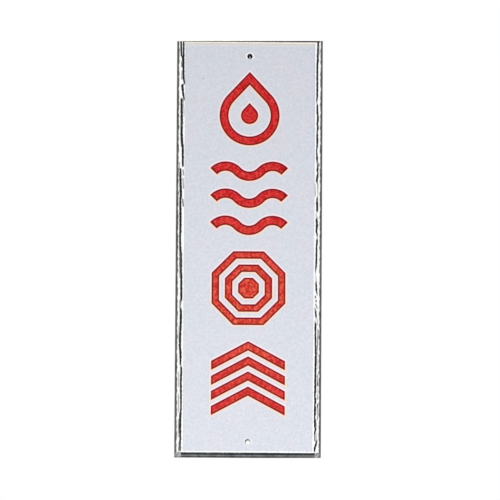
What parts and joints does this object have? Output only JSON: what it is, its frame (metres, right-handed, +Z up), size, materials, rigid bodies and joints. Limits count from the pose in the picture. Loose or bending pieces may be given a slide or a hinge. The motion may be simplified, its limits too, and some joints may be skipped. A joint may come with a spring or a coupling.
{
  "type": "no open flames sign",
  "caption": "Tall clear acrylic wall sign with a bevelled rim, a white face sheet, red film marks and a screw hole near each end.",
  "frame": {"origin": "middle of the plate's flat back, which lies against the wall", "axes": "+Z up along the sign's length, +X across it to the right seen from the front, +Y into the wall, so the front faces -Y"},
  "size_m": [0.105, 0.0034, 0.3],
  "materials": {
    "clear_acrylic": "clear, polished, with a hand-buffed bevel",
    "white_sheet": "satin white",
    "red_film": "satin red"
  },
  "bodies": {
    "root": {"acrylic_plate": "clear_acrylic", "face_sheet": "white_sheet", "drop_outline": "red_film", "drop_core": "red_film", "wave_band_1": "red_film", "wave_band_2": "red_film", "wave_band_3": "red_film", "octagon_outer_ring": "red_film", "octagon_inner_ring": "red_film", "octagon_core": "red_film", "chevron_1": "red_film", "chevron_2": "red_film", "chevron_3": "red_film", "chevron_4": "red_film"}
  },
  "joints": []
}
